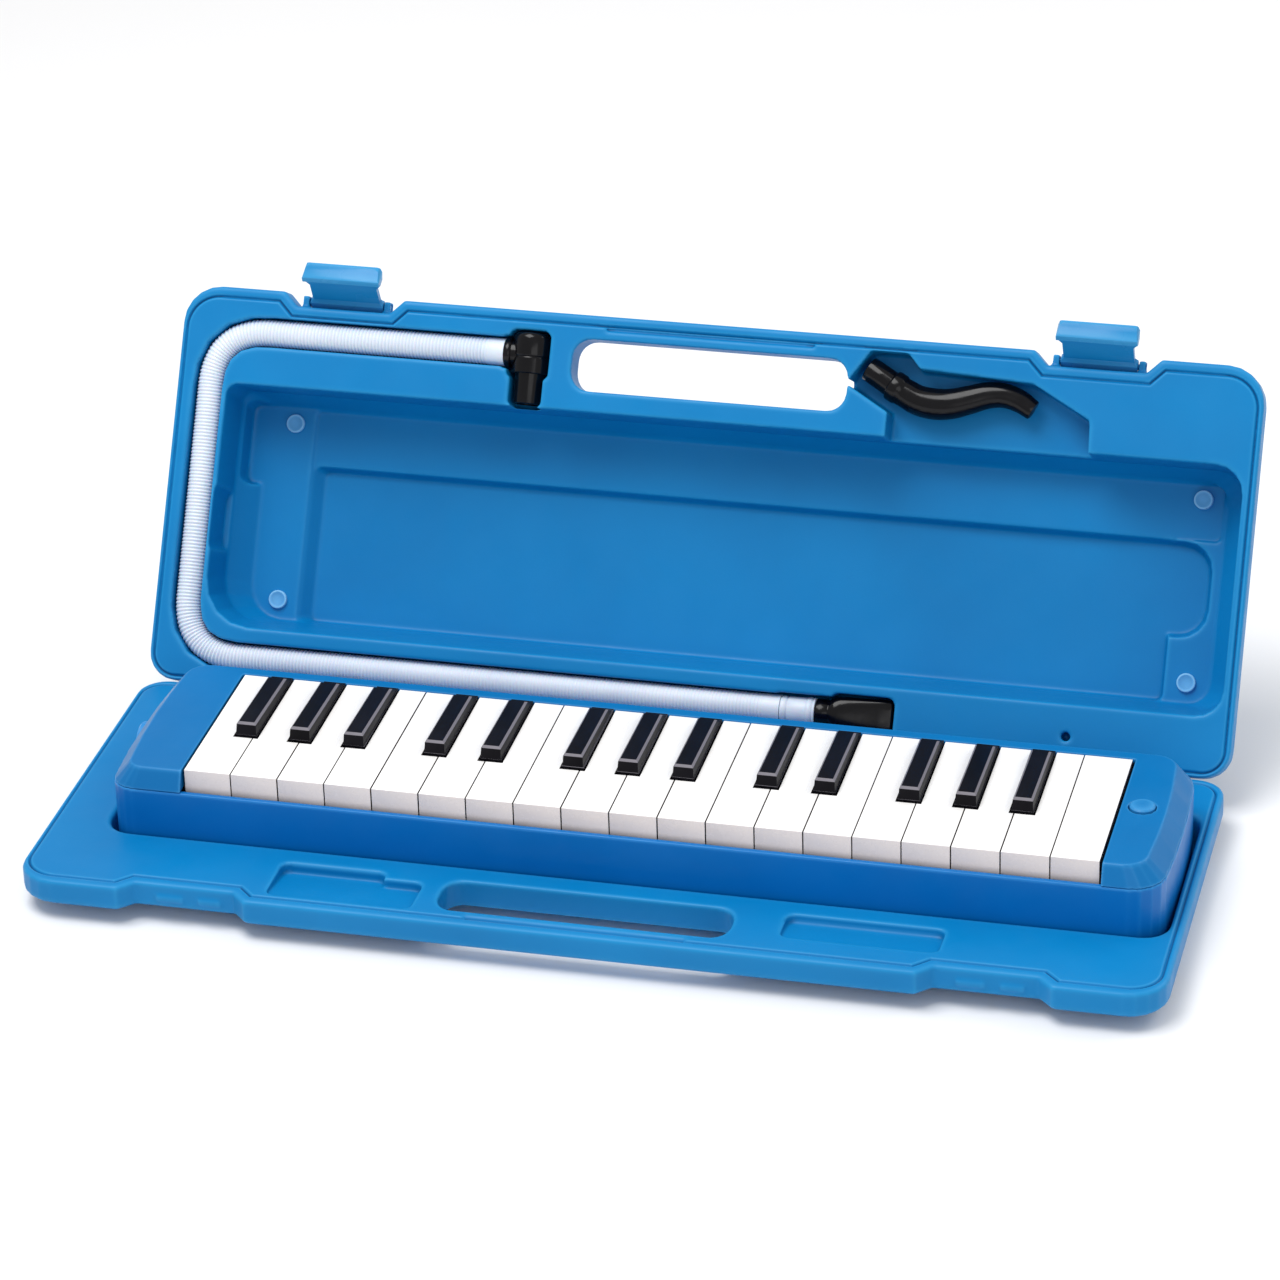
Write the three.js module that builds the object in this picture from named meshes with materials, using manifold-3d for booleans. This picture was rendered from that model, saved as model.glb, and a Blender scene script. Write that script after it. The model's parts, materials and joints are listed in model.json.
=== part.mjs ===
// A 32-key melodica in its open carrying case, with its blowing hose and short mouthpiece.
// Units are millimetres, +Z is up, +X runs along the keyboard and +Y points to the case hinge.
// The model is laid out around the keyboard: x = 0 at the left edge of the lowest white key,
// y = 0 at the front of the white keys and z = 0 on their tops. The whole group is then moved
// so that the origin is at the middle of its base.
import * as THREE from "three";
import { mergeVertices } from "three/addons/utils/BufferGeometryUtils.js";
import Module from "manifold-3d";

const wasm = await Module();
wasm.setup();

// ---- driving dimensions -------------------------------------------------------------------
const CLEAR = 0.3; // gap that touching pieces keep

// keyboard
const PITCH = 19.6; // one white key
const WHITE_COUNT = 19; // F to C, two and a half octaves
const KEY_GAP = 0.5;
const KEY_LENGTH = 81.5; // visible white key
const BLACK_FRONT = 31; // where the black keys begin
const BLACK_WIDTH = 9.3;
const BLACK_HEIGHT = 5.8;
const BLACK_REAR_HEIGHT = 4.6;
const BLACK_REAR_RUN = 1.75; // how far the rear end slopes forward for each mm of height
const BLACK_AFTER = [1, 2, 3, 5, 6, 8, 9, 10, 12, 13, 15, 16, 17]; // white keys to their left
const TRIPLE_SHIFT = 0.16 * PITCH; // outer black keys of a group of three
const PAIR_SHIFT = 0.1 * PITCH; // both black keys of a pair
const KEYBOARD = PITCH * WHITE_COUNT;
const KEY_BODY = 6.5; // depth of a key's lever
const PIVOT_Y = 72;
const PIVOT_Z = -13;
const PAD_BOTTOM = -17.2; // sealing pads on the key tails
const TAIL_TOP = -6.5;
const TAIL_END = 86;

// melodica body
const BODY_LEFT = -33;
const BODY_RIGHT = 398.7;
const BODY_FRONT = -4.2;
const BODY_REAR = 91.8;
const BODY_BOTTOM = -43.2;
const LIP_TOP = -8.9; // upper edge of the front apron
const WALL = 2.4;
const BUTTON_X = 381.9;
const BUTTON_Y = 44.7;
const INLET_Y = 51;
const INLET_Z = -18.4;
const INLET_BORE = 5.8;
const INLET_RADIUS = 8.2;
const INLET_REACH = 3.3; // how far the socket stands out of the body
const RISER_X = -16;

// air passages under the key tails
const CHEST_FRONT = 54;
const CHEST_REAR = 88;
const BLOCK_TOP = -17.5;
const BLOCK_BOTTOM = -29;
const PLATE_TOP = -29.4;
const PLATE_BOTTOM = -30.4;
const GASKET_TOP = -30.7;
const GASKET_BOTTOM = -31.5;
const CHEST_TOP = -31.8;
const CHEST_BOTTOM = -40.3;
const PORT_FRONT = 78;
const PORT_REAR = 85.5;

// case: both halves are laid out by x and by v, the distance from the hinge line
const CASE_LEFT = -58.5;
const CASE_RIGHT = 405.5;
const CASE_DEPTH = 169.7;
const HINGE_Y = 121.2;
const FLANGE_Z = -28.5; // where base and lid meet
const BASE_RIM = 11.5;
const LID_RIM = 14.5;
const OPEN_ANGLE = 120.8; // degrees from closed
const FRONT_RADIUS = 16;
const REAR_RADIUS = 12;
const LATCH_X = [11.8, 335.5];
const NOTCH_INNER = 20.5;
const NOTCH_DEPTH = 6;
const SLOT = { left: 113.7, right: 232, near: 137.5, far: 159.5 };
const TRAY_FLOOR = 15; // below the flange
const TRAY_BOTTOM = 17.9;
const LID_SHOULDER = 20; // height of the lid's steep walls
const LID_ENDS = 30.5; // lid ceiling over the melodica's end blocks
const LID_LEDGE = 31.6; // over the front of the white keys
const LID_CEILING = 36.5; // lid ceiling over the black keys
const LID_TOP = 39.5;

// hinge and latches
const PIN_RADIUS = 1.6;
const KNUCKLE_RADIUS = 4;
const KNUCKLE_BORE = 1.9;
const HINGE_X = [30, 320];
const HINGE_HALF = 30;
const LATCH_HALF = 17; // at the lip
const LATCH_NECK = 14.8;
const LATCH_FOOT = 16;
const LATCH_PIVOT_V = 166.5;
const LATCH_PIVOT_H = 8;
const LATCH_LEAN = 55; // degrees from the lid's plane, towards the inside

// hose and mouthpieces, stored in the lid
const HOSE_RADIUS = 5.9;
const HOSE_H = 6.3; // depth of its centre line in the lid
const HOSE_LEFT = -44.8;
const HOSE_FAR = 151.6;
const HOSE_NEAR = 12.3;
const HOSE_BEND = 22;
const HOSE_START = 83.5;
const HOSE_END = 216.6;
const HOSE_STEPS = 60;
const CUFF_END = 231.5;
const MOUTHPIECE_END = 264;
const ELBOW_X = 94.7;
const ELBOW_H = 6.9;

// ---- materials ----------------------------------------------------------------------------
const material = (color, roughness, metalness = 0) =>
  new THREE.MeshStandardMaterial({ color, roughness, metalness });
const CASE_BLUE = material(0x1d86cc, 0.5);
const LATCH_BLUE = material(0x1673bd, 0.4);
const BODY_BLUE = material(0x1268bd, 0.3);
const UPPER_BLUE = material(0x1673c6, 0.3);
const BUTTON_BLUE = material(0x1b78c8, 0.3);
const PAD_PALE = material(0x62aede, 0.6);
const KEY_WHITE = material(0xf2efec, 0.3);
const KEY_BLACK = material(0x15151c, 0.25);
const HOSE_WHITE = material(0xe8eef6, 0.5);
const FITTING_BLACK = material(0x0c0c0f, 0.2);
const INNER_GREY = material(0xb9bcc0, 0.6);
const BRASS = material(0xc9a24a, 0.35, 1);
const STEEL = material(0xb4b7bb, 0.35, 1);
const FELT_RED = material(0x8f2f2a, 0.95);
const GASKET_DARK = material(0x2a2a2c, 0.85);

// ---- geometry helpers ---------------------------------------------------------------------
const radians = THREE.MathUtils.degToRad;

/** A closed three.js geometry as a manifold-3d solid. */
function solid(geometry) {
  const plain = geometry.clone();
  plain.deleteAttribute("normal");
  plain.deleteAttribute("uv");
  const merged = mergeVertices(plain, 1e-4);
  return new wasm.Manifold(
    new wasm.Mesh({
      numProp: 3,
      vertProperties: merged.attributes.position.array,
      triVerts: new Uint32Array(merged.index.array),
    }),
  );
}

/** A manifold-3d solid as a three.js geometry. */
function geometryOf(body) {
  const { vertProperties, triVerts } = body.getMesh();
  const geometry = new THREE.BufferGeometry();
  geometry.setAttribute("position", new THREE.BufferAttribute(vertProperties, 3));
  geometry.setIndex(new THREE.BufferAttribute(triVerts, 1));
  geometry.computeVertexNormals();
  return geometry;
}

function part(name, body, look) {
  const mesh = new THREE.Mesh(geometryOf(body), look.clone());
  mesh.name = name;
  return mesh;
}

function box(low, high) {
  const size = high.map((value, axis) => value - low[axis]);
  const middle = high.map((value, axis) => (value + low[axis]) / 2);
  return solid(new THREE.BoxGeometry(...size).translate(...middle));
}

/** Prism over a counter-clockwise outline of [x, y] points, from z = low to z = high. */
function prism(outline, low, high) {
  const shape = new THREE.Shape(outline.map(([x, y]) => new THREE.Vector2(x, y)));
  const options = { depth: high - low, bevelEnabled: false };
  return solid(new THREE.ExtrudeGeometry(shape, options).translate(0, 0, low));
}

/** Prism along X over an outline of [y, z] points. */
function prismX(outline, left, right, holes = []) {
  const shape = new THREE.Shape(outline.map(([y, z]) => new THREE.Vector2(y, z)));
  for (const hole of holes) shape.holes.push(hole);
  const options = { depth: right - left, bevelEnabled: false };
  const turn = new THREE.Matrix4().makeBasis(
    new THREE.Vector3(0, 1, 0),
    new THREE.Vector3(0, 0, 1),
    new THREE.Vector3(1, 0, 0),
  );
  const geometry = new THREE.ExtrudeGeometry(shape, options).applyMatrix4(turn);
  return solid(geometry.translate(left, 0, 0));
}

/** A hole for prismX: a polygon inscribed in a circle. */
function roundHole(y, z, radius, sides) {
  const points = new THREE.Path().absarc(y, z, radius, 0, 2 * Math.PI, false).getPoints(sides);
  return new THREE.Path(points.slice(0, -1));
}

/** Closed skin over rings of points with the same count, counter-clockwise about the way up. */
function loft(rings) {
  const count = rings[0].length;
  const index = [];
  for (let ring = 0; ring + 1 < rings.length; ring++) {
    for (let i = 0; i < count; i++) {
      const a = ring * count + i;
      const b = ring * count + ((i + 1) % count);
      index.push(a, b, b + count, a, b + count, a + count);
    }
  }
  const cap = capTriangles(rings[0]);
  const last = (rings.length - 1) * count;
  for (const [a, b, c] of cap) index.push(a, c, b);
  for (const [a, b, c] of capTriangles(rings.at(-1))) index.push(a + last, b + last, c + last);
  const geometry = new THREE.BufferGeometry().setFromPoints(rings.flat());
  geometry.setIndex(index);
  return solid(geometry);
}

/** Triangles that fill one planar ring, turning the way the ring does. */
function capTriangles(ring) {
  const normal = new THREE.Vector3();
  ring.forEach((point, i) => {
    normal.add(point.clone().cross(ring[(i + 1) % ring.length]));
  });
  const turn = new THREE.Quaternion().setFromUnitVectors(
    normal.normalize(),
    new THREE.Vector3(0, 0, 1),
  );
  const flat = ring.map((point) => {
    const turned = point.clone().applyQuaternion(turn);
    return new THREE.Vector2(turned.x, turned.y);
  });
  return THREE.ShapeUtils.triangulateShape(flat, []);
}

const ringAt = (outline, z) => outline.map(([x, y]) => new THREE.Vector3(x, y, z));

/** Loft between outlines of [x, y] points, given as [outline, z] pairs from the bottom up. */
const tower = (...levels) => loft(levels.map(([outline, z]) => ringAt(outline, z)));

/** Counter-clockwise rectangle with round corners; radii run from the low-x low-y corner. */
function roundRect(left, right, front, rear, radii, steps = 4) {
  const [r0, r1, r2, r3] = Array.isArray(radii) ? radii : [radii, radii, radii, radii];
  const corners = [
    [left + r0, front + r0, r0, 180],
    [right - r1, front + r1, r1, 270],
    [right - r2, rear - r2, r2, 0],
    [left + r3, rear - r3, r3, 90],
  ];
  return corners.flatMap(([x, y, radius, start]) => {
    const points = [];
    for (let i = 0; i <= steps; i++) {
      const angle = radians(start + (90 * i) / steps);
      points.push([x + radius * Math.cos(angle), y + radius * Math.sin(angle)]);
    }
    return points;
  });
}

/** Solid turned about the X axis at [y, z]; the profile is [radius, x] from axis to axis. */
function turnedX(profile, y, z, sides) {
  const points = profile.map(([radius, x]) => new THREE.Vector2(radius, x));
  const geometry = new THREE.LatheGeometry(points, sides);
  return solid(geometry.rotateZ(-Math.PI / 2).translate(0, y, z));
}

/** Solid turned about the Z axis at [x, y]; the profile is [radius, z] from axis to axis. */
function turnedZ(profile, x, y, sides) {
  const points = profile.map(([radius, height]) => new THREE.Vector2(radius, height));
  return solid(new THREE.LatheGeometry(points, sides).rotateX(Math.PI / 2).translate(x, y, 0));
}

const rodX = (radius, left, right, y, z, sides) =>
  turnedX([[0, left], [radius, left], [radius, right], [0, right]], y, z, sides);

const joined = (bodies) => bodies.reduce((sum, body) => sum.add(body));
const cut = (body, ...tools) => tools.reduce((left, tool) => left.subtract(tool), body);

// ---- keys ---------------------------------------------------------------------------------
function blackCentre(after) {
  const inTriple = [1, 2, 3, 8, 9, 10, 15, 16, 17].includes(after);
  const place = inTriple ? (after % 7) - 2 : after % 7 === 5 ? -1 : 1;
  return after * PITCH + place * (inTriple ? TRIPLE_SHIFT : PAIR_SHIFT);
}

/** Side view of a key lever behind y = front, as [y, z] points. */
function leverProfile(front, top) {
  return [
    [front, -KEY_BODY],
    [PIVOT_Y - 5, -KEY_BODY],
    [PIVOT_Y - 4, PIVOT_Z - 3],
    [PIVOT_Y + 4, PIVOT_Z - 3],
    [PIVOT_Y + 5, -10],
    [TAIL_END - 8.5, -10],
    [TAIL_END - 8.5, PAD_BOTTOM],
    [TAIL_END, PAD_BOTTOM],
    [TAIL_END, TAIL_TOP],
    [KEY_LENGTH, TAIL_TOP],
    [KEY_LENGTH, top],
    [front, top],
  ];
}

const axleHole = () => roundHole(PIVOT_Y, PIVOT_Z, 1.5, 8);

function whiteKey(number) {
  const left = (number - 1) * PITCH + KEY_GAP / 2;
  const right = number * PITCH - KEY_GAP / 2;
  const gap = BLACK_WIDTH / 2 + 0.6;
  const fromBlack = BLACK_AFTER.includes(number - 1) ? blackCentre(number - 1) + gap : left;
  const toBlack = BLACK_AFTER.includes(number) ? blackCentre(number) - gap : right;
  const head = prismX(
    [[0, -12], [2, -12], [2, -KEY_BODY], [BLACK_FRONT - 0.7, -KEY_BODY], [BLACK_FRONT - 0.7, 0], [0, 0]],
    left,
    right,
  );
  const lever = prismX(leverProfile(BLACK_FRONT - 2, 0), fromBlack, toBlack, [axleHole()]);
  return head.add(lever);
}

function blackKey(after) {
  const middle = blackCentre(after);
  const half = BLACK_WIDTH / 2;
  const lever = prismX(
    leverProfile(BLACK_FRONT + 0.5, 0.6),
    middle - half,
    middle + half,
    [axleHole()],
  );
  const ring = (inset, front, frontZ, rearZ) => {
    const rear = KEY_LENGTH - BLACK_REAR_RUN * rearZ;
    return [
      new THREE.Vector3(middle - half + inset, BLACK_FRONT + front, frontZ),
      new THREE.Vector3(middle + half - inset, BLACK_FRONT + front, frontZ),
      new THREE.Vector3(middle + half - inset, rear, rearZ),
      new THREE.Vector3(middle - half + inset, rear, rearZ),
    ];
  };
  const top = loft([
    ring(0.35, 0.5, 0, 0),
    ring(0.6, 1.4, BLACK_HEIGHT - 0.9, BLACK_REAR_HEIGHT - 0.9),
    ring(1.4, 2.3, BLACK_HEIGHT, BLACK_REAR_HEIGHT),
  ]);
  return lever.add(top);
}

const WHITE_NAMES = ["f", "g", "a", "b", "c", "d", "e"];
const BLACK_NAMES = { 1: "f_sharp", 2: "g_sharp", 3: "a_sharp", 5: "c_sharp", 6: "d_sharp" };

function makeKeys() {
  const keys = [];
  for (let number = 1; number <= WHITE_COUNT; number++) {
    const octave = 3 + Math.floor((number + 2) / 7);
    const note = WHITE_NAMES[(number - 1) % 7];
    keys.push(part(`key_${note}${octave}`, whiteKey(number), KEY_WHITE));
    if (BLACK_AFTER.includes(number)) {
      const name = BLACK_NAMES[((number - 1) % 7) + 1];
      keys.push(part(`key_${name}${octave}`, blackKey(number), KEY_BLACK));
    }
  }
  return keys;
}

/** Middle of each key's tail, in playing order. */
function tailCentres() {
  const gap = BLACK_WIDTH / 2 + 0.6;
  const centres = [];
  for (let number = 1; number <= WHITE_COUNT; number++) {
    const before = BLACK_AFTER.includes(number - 1);
    const after = BLACK_AFTER.includes(number);
    const left = before ? blackCentre(number - 1) + gap : (number - 1) * PITCH;
    const right = after ? blackCentre(number) - gap : number * PITCH;
    centres.push((left + right) / 2);
    if (after) centres.push(blackCentre(number));
  }
  return centres;
}

// ---- melodica body ------------------------------------------------------------------------
/** Outline of the body: round corners and slightly bowed ends, drawn in by the given insets. */
function bodyOutline(ends, front, rear, radius) {
  const bow = 2.5;
  const sideSteps = [0.3, 0.5, 0.7];
  const left = BODY_LEFT + bow + ends;
  const right = BODY_RIGHT - bow - ends;
  const low = BODY_FRONT + front;
  const high = BODY_REAR - rear;
  const rect = roundRect(left, right, low, high, [radius - 3, radius, radius, radius]);
  const perCorner = rect.length / 4;
  const rightSide = sideSteps.map((t) => [right, low + t * (high - low)]);
  const leftSide = sideSteps.map((t) => [left, high - t * (high - low)]);
  const points = [
    ...rect.slice(0, 2 * perCorner),
    ...rightSide,
    ...rect.slice(2 * perCorner),
    ...leftSide,
  ];
  const middleX = (left + right) / 2;
  const middleY = (low + high) / 2;
  return points.map(([x, y]) => {
    const along = (y - middleY) / ((high - low) / 2);
    return [x + Math.sign(x - middleX) * bow * (1 - along * along), y];
  });
}

function lowerCase() {
  const outer = bodyOutline(0, 0, 0, 12);
  const shell = tower([bodyOutline(2, 2, 2, 10), BODY_BOTTOM], [outer, -41.2], [outer, LIP_TOP]);
  const inner = bodyOutline(WALL, WALL, WALL, 9.6);
  const hollow = tower([inner, BODY_BOTTOM + WALL], [inner, 0]);
  const rail = box([0, 4.6, BODY_BOTTOM + 1], [KEYBOARD, 7, -13.4]);
  const inlet = rodX(INLET_RADIUS + CLEAR, BODY_LEFT - 5, BODY_LEFT + 8, INLET_Y, INLET_Z, 20);
  const drain = turnedZ([[0, -50], [3, -50], [3, -38], [0, -38]], BUTTON_X, BUTTON_Y, 12);
  return cut(shell.subtract(hollow).add(rail), inlet, drain);
}

function upperCase() {
  const seat = LIP_TOP + CLEAR;
  const outer = tower(
    [bodyOutline(0, 0, 0, 12), seat],
    [bodyOutline(6.2, 3.1, 3.6, 8.5), -0.9],
    [bodyOutline(7, 3.8, 4.4, 8), 0],
  );
  const hollow = tower(
    [bodyOutline(2.2, 2.2, 2.2, 10), seat - 1],
    [bodyOutline(8.4, 5.5, 5.8, 9.5), -3.2],
    [bodyOutline(9.4, 6.4, 6.8, 9), -2.2],
  );
  const wellLeft = -0.9;
  const wellRight = KEYBOARD + 0.9;
  const rooms = joined([
    box([BODY_LEFT, -10, -20], [wellLeft - 2.2, 100, 0]),
    box([wellRight + 2.2, -10, -20], [BODY_RIGHT, 100, 0]),
    box([wellLeft - 3, KEY_LENGTH + 0.2, -20], [wellRight + 3, 100, 0]),
  ]);
  const well = box([wellLeft, -20, -20], [wellRight, KEY_LENGTH + 0.7, 5]);
  const hole = turnedZ([[0, -10], [5.6, -10], [5.6, 5], [0, 5]], BUTTON_X, BUTTON_Y, 20);
  return cut(outer, hollow.intersect(rooms), well, hole);
}

function reedBlock() {
  const block = box([-3, CHEST_FRONT, BLOCK_BOTTOM], [KEYBOARD + 3, CHEST_REAR, BLOCK_TOP]);
  const ears = [-3, KEYBOARD + 0.6].map((x) =>
    prismX(
      [
        [PIVOT_Y - 5, BLOCK_TOP - 1],
        [PIVOT_Y + 5, BLOCK_TOP - 1],
        [PIVOT_Y + 4, -10.4],
        [PIVOT_Y - 4, -10.4],
      ],
      x,
      x + 2.4,
      [roundHole(PIVOT_Y, PIVOT_Z, 1.5, 12)],
    ),
  );
  // each cell is a wedge-shaped channel that opens under its key's pad
  const cells = tailCentres().map((x) =>
    prismX(
      [
        [CHEST_FRONT + 5, BLOCK_BOTTOM - 1],
        [PORT_REAR, BLOCK_BOTTOM - 1],
        [PORT_REAR, BLOCK_TOP + 1],
        [PORT_FRONT, BLOCK_TOP + 1],
        [CHEST_FRONT + 5, BLOCK_BOTTOM + 3],
      ],
      x - 2.6,
      x + 2.6,
    ),
  );
  return cut(joined([block, ...ears]), joined(cells));
}

/** One brass plate with a slot and a riveted tongue for each reed. */
function reedPlate(centres, left, right) {
  const plate = box([left, CHEST_FRONT + 1, PLATE_BOTTOM], [right, CHEST_REAR - 1, PLATE_TOP]);
  // each slot runs round three sides of its tongue
  const reeds = centres.map((x) =>
    prism(
      [
        [x - 1.7, 60],
        [x + 1.7, 60],
        [x + 1.7, 80],
        [x + 1.1, 80],
        [x + 1.1, 60.6],
        [x - 1.1, 60.6],
        [x - 1.1, 80],
        [x - 1.7, 80],
      ],
      -31,
      -29,
    ),
  );
  return plate.subtract(joined(reeds));
}

function chamberGasket() {
  const outer = box([0.5, 54.5, GASKET_BOTTOM], [KEYBOARD - 0.5, 87.5, GASKET_TOP]);
  return outer.subtract(box([4, 58, -35], [KEYBOARD - 4, 85, -25]));
}

/** Wind chest with a riser to the inlet at its left and a duct to the drain valve. */
function airChamber() {
  const right = KEYBOARD - CLEAR;
  const chest = box([0, CHEST_FRONT, CHEST_BOTTOM], [right, CHEST_REAR, CHEST_TOP]);
  const riserRear = CHEST_FRONT + 12;
  const riser = box([RISER_X, INLET_Y - 9, CHEST_BOTTOM], [-3.4, riserRear, INLET_Z + 9]);
  const foot = box([-5, CHEST_FRONT, CHEST_BOTTOM], [1, riserRear, CHEST_TOP]);
  const duct = box([right - 14, BUTTON_Y - 7, -36], [BUTTON_X + 7, CHEST_FRONT - CLEAR, -24]);
  const join = box([right - 14, CHEST_FRONT - 2, -36], [right, CHEST_FRONT + 1, CHEST_TOP]);
  const hollows = joined([
    box([2, CHEST_FRONT + 2, CHEST_BOTTOM + 2], [right - 2, CHEST_REAR - 2, CHEST_TOP + 1]),
    box([RISER_X + 2, INLET_Y - 7, CHEST_BOTTOM + 2], [-5.4, riserRear - 2, INLET_Z + 7]),
    box([-6, CHEST_FRONT + 2, CHEST_BOTTOM + 2], [3, riserRear - 2, CHEST_TOP - 2]),
    box([right - 12, BUTTON_Y - 5, -34], [BUTTON_X + 5, CHEST_FRONT - 2, -26]),
    box([right - 12, CHEST_FRONT - 3, -34.4], [right - 2, CHEST_FRONT + 3, -33.4]),
    rodX(INLET_BORE, RISER_X - 1, RISER_X + 3, INLET_Y, INLET_Z, 20),
    turnedZ([[0, -40], [2.4, -40], [2.4, -20], [0, -20]], BUTTON_X, BUTTON_Y, 12),
  ]);
  return joined([chest, riser, foot, duct, join]).subtract(hollows);
}

function springComb() {
  const strip = box([0, 83.4, -3.2], [KEYBOARD, 85.4, -2.7]);
  const fingers = tailCentres().map((x) =>
    box([x - 1.8, 83.4, -5], [x + 1.8, 84, -3]),
  );
  return joined([strip, ...fingers]);
}

function drainButton() {
  const profile = [
    [0, -37.5],
    [4, -37.5],
    [4, -36.4],
    [1.5, -36.2],
    [1.5, -4.6],
    [6.2, -4.6],
    [6.2, -2.6],
    [5.2, -2.6],
    [5.2, 0.6],
    [4.4, 1.2],
    [2.4, 1.6],
    [0, 1.7],
  ];
  return turnedZ(profile, BUTTON_X, BUTTON_Y, 20);
}

function drainSpring() {
  const turns = 5;
  const stepsPerTurn = 8;
  const low = -22.6;
  const high = -5.6;
  const points = [];
  for (let i = 0; i <= turns * stepsPerTurn; i++) {
    const angle = (2 * Math.PI * i) / stepsPerTurn;
    const height = low + ((high - low) * i) / (turns * stepsPerTurn);
    const x = BUTTON_X + 3.6 * Math.cos(angle);
    points.push(new THREE.Vector3(x, BUTTON_Y + 3.6 * Math.sin(angle), height));
  }
  const corners = [[-0.35, 0], [0, -0.35], [0.35, 0], [0, 0.35]];
  const wire = new THREE.Shape(corners.map(([x, y]) => new THREE.Vector2(x, y)));
  const options = {
    steps: turns * stepsPerTurn,
    extrudePath: new THREE.CatmullRomCurve3(points),
    bevelEnabled: false,
  };
  return solid(new THREE.ExtrudeGeometry(wire, options));
}

function inletSocket() {
  const mouth = BODY_LEFT - INLET_REACH;
  const end = RISER_X - CLEAR;
  const profile = [
    [INLET_BORE, mouth],
    [INLET_RADIUS - 0.8, mouth],
    [INLET_RADIUS, mouth + 0.8],
    [INLET_RADIUS, mouth + 9],
    [INLET_RADIUS - 1, mouth + 9],
    [INLET_RADIUS - 1, end],
    [INLET_BORE, end],
    [INLET_BORE, mouth],
  ];
  return turnedX(profile, INLET_Y, INLET_Z, 20);
}

function makeMelodica() {
  const group = new THREE.Group();
  const centres = tailCentres();
  const half = centres.length / 2;
  const middle = (centres[half - 1] + centres[half]) / 2;
  const felt = box([0, 2.6, -13.1], [KEYBOARD, 9, -11.1]);
  group.add(
    part("lower_case", lowerCase(), BODY_BLUE),
    part("upper_case", upperCase(), UPPER_BLUE),
    part("reed_block", reedBlock(), INNER_GREY),
    part("reed_plate_low", reedPlate(centres.slice(0, half), 1, middle - 0.5), BRASS),
    part("reed_plate_high", reedPlate(centres.slice(half), middle + 0.5, KEYBOARD - 1), BRASS),
    part("chamber_gasket", chamberGasket(), GASKET_DARK),
    part("air_chamber", airChamber(), INNER_GREY),
    part("key_axle", rodX(1.2, -2.8, KEYBOARD + 2.8, PIVOT_Y, PIVOT_Z, 12), STEEL),
    part("key_spring_comb", springComb(), STEEL),
    part("key_stop_felt", felt, FELT_RED),
    part("inlet_socket", inletSocket(), BODY_BLUE),
    part("drain_button", drainButton(), BUTTON_BLUE),
    part("drain_spring", drainSpring(), STEEL),
    ...makeKeys(),
  );
  return group;
}

// ---- case ---------------------------------------------------------------------------------
// Case shapes are drawn in plan with y = -v, and z up from the plane where the halves meet.

/** Outline of either half, drawn in by inset, with a bevelled notch at each latch. */
function caseOutline(inset) {
  const front = -CASE_DEPTH + inset;
  const rect = roundRect(
    CASE_LEFT + inset,
    CASE_RIGHT - inset,
    front,
    -inset,
    [FRONT_RADIUS - inset, FRONT_RADIUS - inset, REAR_RADIUS - inset, REAR_RADIUS - inset],
    5,
  );
  const flare = inset * (Math.SQRT2 - 1);
  const notches = LATCH_X.flatMap((x) => {
    const inner = NOTCH_INNER + flare;
    const outer = inner + NOTCH_DEPTH;
    return [
      [x - outer, front],
      [x - inner, front + NOTCH_DEPTH],
      [x + inner, front + NOTCH_DEPTH],
      [x + outer, front],
    ];
  });
  const perCorner = rect.length / 4;
  return [...rect.slice(0, perCorner), ...notches, ...rect.slice(perCorner)];
}

const plan = (left, right, near, far, radii, steps) =>
  roundRect(left, right, -far, -near, radii, steps);

/** Knuckles of one half, and the room that the other half's knuckles turn in. */
function knuckles(spans, lean) {
  const bodies = [];
  for (const middle of HINGE_X) {
    for (const [left, right] of spans) {
      const barrel = rodX(KNUCKLE_RADIUS, middle + left, middle + right, 0, 0, 16);
      const web = box([middle + left, -6, Math.min(0, lean)], [middle + right, -0.5, Math.max(0, lean)]);
      bodies.push(barrel.add(web));
    }
  }
  return joined(bodies);
}

function knuckleRoom(spans) {
  const rooms = [];
  for (const middle of HINGE_X) {
    for (const [left, right] of spans) {
      rooms.push(rodX(KNUCKLE_RADIUS + 2.6, middle + left - 0.4, middle + right + 0.4, 0, 0, 16));
    }
  }
  return joined(rooms);
}

const BASE_SPANS = [[-HINGE_HALF, -18], [-6, 6], [18, HINGE_HALF]];
const LID_SPANS = [[-17.6, -6.4], [6.4, 17.6]];
const pinBores = () =>
  joined(HINGE_X.map((x) => rodX(KNUCKLE_BORE, x - 40, x + 40, 0, 0, 16)));

const handleSlot = () =>
  prism(plan(SLOT.left, SLOT.right, SLOT.near, SLOT.far, 8, 4), -60, 60);

const thinGroove = (low, high) => box([127, -165, low], [217, -163.3, high]);

/** Outside of the sunken part of the base round a hollow. */
function basinShell({ left, right, near, far }, radius) {
  const grown = (by) => plan(left - by, right + by, near - by, far + by, radius + 1);
  return tower([grown(-3), -TRAY_BOTTOM], [grown(1), -TRAY_BOTTOM + 3], [grown(3), -9]);
}

/** A hollow in the base, a little wider at its mouth. */
function basin({ left, right, near, far }, radius) {
  const grown = (by) => plan(left - by, right + by, near - by, far + by, radius);
  return tower([grown(-0.4), -TRAY_FLOOR], [grown(0), -1.2], [grown(0.9), 0], [grown(0.9), 1]);
}

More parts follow.
